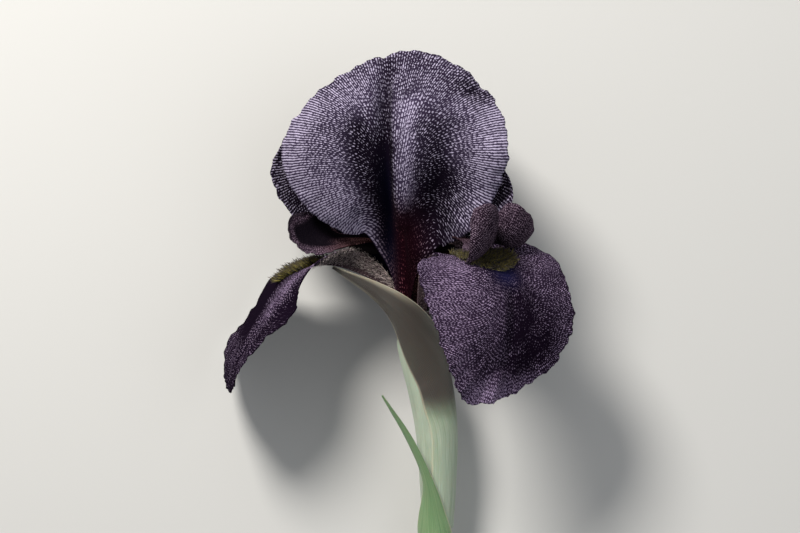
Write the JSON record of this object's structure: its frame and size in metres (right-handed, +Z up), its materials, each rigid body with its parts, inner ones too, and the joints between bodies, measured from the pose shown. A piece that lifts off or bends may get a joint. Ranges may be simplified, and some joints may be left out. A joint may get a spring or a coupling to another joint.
{
  "type": "iris flower",
  "caption": "Cut iris flower lying on its back: round upright standards, hanging bearded falls, arching style arms, papery spathes and a short leafy stem.",
  "frame": {"origin": "bottom centre of the flower's bounding box, on the surface that the flower lies on", "axes": "+Y runs up the stem to the top of the standards, +Z points up off the surface, towards the flower's front, and +X points to the right of someone who faces the flower's front"},
  "size_m": [0.1152, 0.2298, 0.0768],
  "materials": {
    "standard_velvet": "matt velvet, dark violet with fine pale veins",
    "fall_velvet": "matt velvet, blackish violet with fine pale specks",
    "style_velvet": "matt velvet, blackish maroon",
    "beard_hair": "short stiff hairs, olive yellow with dark tips",
    "stamen": "matt, dusty cream",
    "tube_skin": "smooth, dull green flushed with maroon",
    "spathe_skin": "thin and waxy, pale grey green with a bloom",
    "stem_skin": "smooth, satin, pale green",
    "leaf_skin": "smooth, satin, fine lengthwise veins"
  },
  "bodies": {
    "root": {"front_standard": "standard_velvet", "rear_left_standard": "standard_velvet", "rear_right_standard": "standard_velvet", "left_fall": "fall_velvet", "right_fall": "fall_velvet", "rear_fall": "fall_velvet", "left_beard": "beard_hair", "right_beard": "beard_hair", "rear_beard": "beard_hair", "left_style_arm": "style_velvet", "right_style_arm": "style_velvet", "rear_style_arm": "style_velvet", "left_filament": "stamen", "right_filament": "stamen", "rear_filament": "stamen", "left_anther": "stamen", "right_anther": "stamen", "rear_anther": "stamen", "perianth_tube": "tube_skin", "ovary": "stem_skin", "stem": "stem_skin", "outer_spathe": "spathe_skin", "inner_spathe": "spathe_skin", "stem_leaf": "leaf_skin"}
  },
  "joints": []
}
